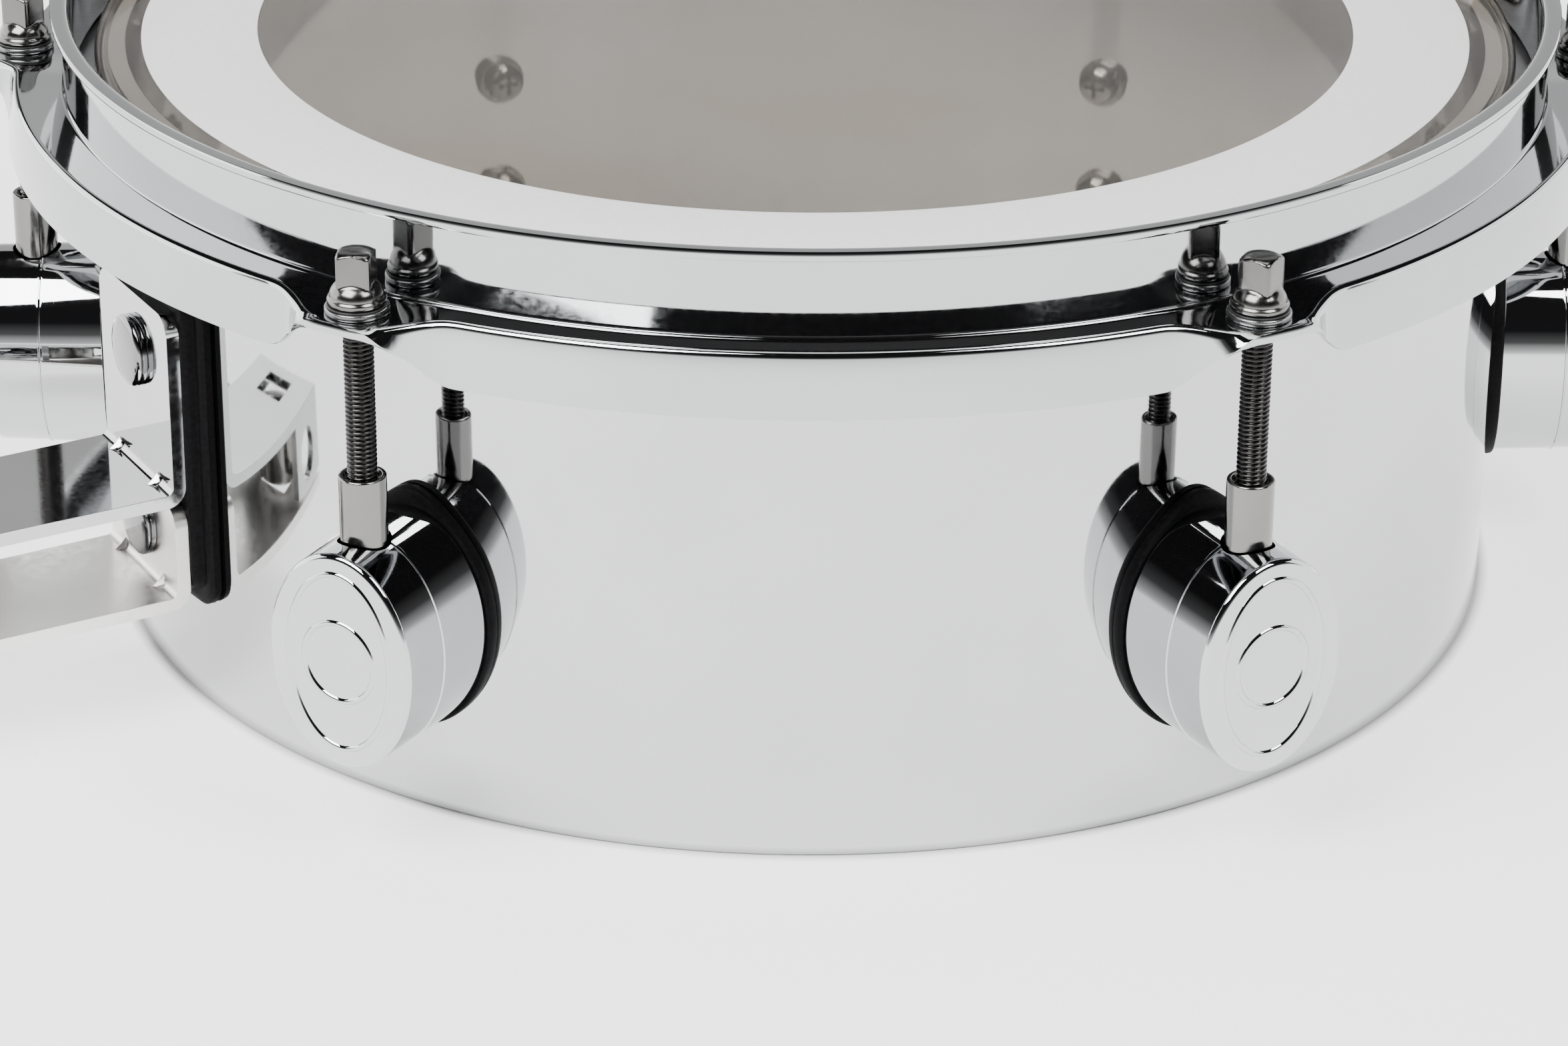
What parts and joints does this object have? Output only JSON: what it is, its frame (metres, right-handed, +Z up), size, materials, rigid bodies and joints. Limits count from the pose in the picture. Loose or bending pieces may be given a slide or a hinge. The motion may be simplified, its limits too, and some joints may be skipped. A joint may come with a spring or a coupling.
{
  "type": "timbale drum",
  "caption": "Single-headed shallow metal drum with a translucent head, triple-flanged hoop, oval lugs, tension rods and a rod clamp bracket.",
  "frame": {"origin": "centre of the shell's bare lower rim, on the drum's axis, at the level that the drum rests on", "axes": "+Z up the drum's axis towards the head; -Y is the front; the bracket is on the left, at 60 degrees from the front towards -X"},
  "size_m": [0.3265, 0.2868, 0.11],
  "materials": {
    "shell_chrome": "chrome plated steel, polished",
    "hoop_chrome": "chrome plated pressed steel, polished",
    "lug_chrome": "chrome plated die casting, polished",
    "bracket_chrome": "chrome plated pressed steel, cut edges less polished",
    "bolt_chrome": "chrome plated steel, polished",
    "rod_steel": "nickel plated steel, slightly dark, cut threads",
    "tube_nut_nickel": "nickel plated steel, turned",
    "nickel_hardware": "nickel plated steel",
    "washer_steel": "zinc plated steel, satin",
    "flesh_alloy": "plain aluminium, satin",
    "film": "hazy translucent polyester film, satin",
    "ring_coating": "opaque white coating, satin",
    "rubber": "black moulded rubber, satin",
    "nylon": "black nylon, satin"
  },
  "bodies": {
    "shell_body": {"shell": "shell_chrome", "lug_1": "lug_chrome", "lug_2": "lug_chrome", "lug_3": "lug_chrome", "lug_4": "lug_chrome", "lug_5": "lug_chrome", "lug_6": "lug_chrome", "lug_gasket_1": "rubber", "lug_gasket_2": "rubber", "lug_gasket_3": "rubber", "lug_gasket_4": "rubber", "lug_gasket_5": "rubber", "lug_gasket_6": "rubber", "tube_nut_1": "tube_nut_nickel", "tube_nut_2": "tube_nut_nickel", "tube_nut_3": "tube_nut_nickel", "tube_nut_4": "tube_nut_nickel", "tube_nut_5": "tube_nut_nickel", "tube_nut_6": "tube_nut_nickel", "lug_screws": "nickel_hardware", "lug_screw_washers": "washer_steel", "bracket_gasket": "rubber", "bracket_upper": "bracket_chrome", "bracket_lower": "bracket_chrome", "bracket_bolts": "bolt_chrome", "bracket_bolt_nuts": "nickel_hardware", "bracket_bolt_washers": "washer_steel", "wing_nut_washer": "washer_steel"},
    "hoop_body": {"hoop": "hoop_chrome", "head_film": "film", "head_ring": "ring_coating", "flesh_hoop": "flesh_alloy", "rod_steel_washers": "washer_steel", "rod_nylon_washers": "nylon"},
    "tension_rod_1_body": {"tension_rod_1": "rod_steel"},
    "tension_rod_2_body": {"tension_rod_2": "rod_steel"},
    "tension_rod_3_body": {"tension_rod_3": "rod_steel"},
    "tension_rod_4_body": {"tension_rod_4": "rod_steel"},
    "tension_rod_5_body": {"tension_rod_5": "rod_steel"},
    "tension_rod_6_body": {"tension_rod_6": "rod_steel"},
    "eye_bolt_body": {"eye_bolt": "nickel_hardware"},
    "wing_nut_body": {"wing_nut": "bolt_chrome"}
  },
  "joints": [
    {"name": "hoop_lift", "type": "slide", "parent": "shell_body", "child": "hoop_body", "axis": [0, 0, 1], "range_m": [0, 0.004]},
    {"name": "tension_rod_1_turn", "type": "hinge", "parent": "hoop_body", "child": "tension_rod_1_body", "pos_m": [-0.07085, -0.12272, 0.095], "axis": [0, 0, 1], "range_deg": [0, 1800]},
    {"name": "tension_rod_2_turn", "type": "hinge", "parent": "hoop_body", "child": "tension_rod_2_body", "pos_m": [0.07085, -0.12272, 0.095], "axis": [0, 0, 1], "range_deg": [0, 1800]},
    {"name": "tension_rod_3_turn", "type": "hinge", "parent": "hoop_body", "child": "tension_rod_3_body", "pos_m": [0.1417, 0, 0.095], "axis": [0, 0, 1], "range_deg": [0, 1800]},
    {"name": "tension_rod_4_turn", "type": "hinge", "parent": "hoop_body", "child": "tension_rod_4_body", "pos_m": [0.07085, 0.12272, 0.095], "axis": [0, 0, 1], "range_deg": [0, 1800]},
    {"name": "tension_rod_5_turn", "type": "hinge", "parent": "hoop_body", "child": "tension_rod_5_body", "pos_m": [-0.07085, 0.12272, 0.095], "axis": [0, 0, 1], "range_deg": [0, 1800]},
    {"name": "tension_rod_6_turn", "type": "hinge", "parent": "hoop_body", "child": "tension_rod_6_body", "pos_m": [-0.1417, 0, 0.095], "axis": [0, 0, 1], "range_deg": [0, 1800]},
    {"name": "eye_bolt_draw", "type": "slide", "parent": "shell_body", "child": "eye_bolt_body", "axis": [-0.5, 0.866, 0], "range_m": [0, 0.002]},
    {"name": "wing_nut_turn", "type": "hinge", "parent": "shell_body", "child": "wing_nut_body", "pos_m": [-0.15112, -0.08725, 0.0312], "axis": [0.5, -0.866, 0], "range_deg": [0, 720]}
  ],
  "couplings": [
    {"joint": "tension_rod_1_turn", "follows": "hoop_lift", "rad_per_m": 7854},
    {"joint": "tension_rod_2_turn", "follows": "hoop_lift", "rad_per_m": 7854},
    {"joint": "tension_rod_3_turn", "follows": "hoop_lift", "rad_per_m": 7854},
    {"joint": "tension_rod_4_turn", "follows": "hoop_lift", "rad_per_m": 7854},
    {"joint": "tension_rod_5_turn", "follows": "hoop_lift", "rad_per_m": 7854},
    {"joint": "tension_rod_6_turn", "follows": "hoop_lift", "rad_per_m": 7854},
    {"joint": "wing_nut_turn", "follows": "eye_bolt_draw", "rad_per_m": 6283.2}
  ]
}
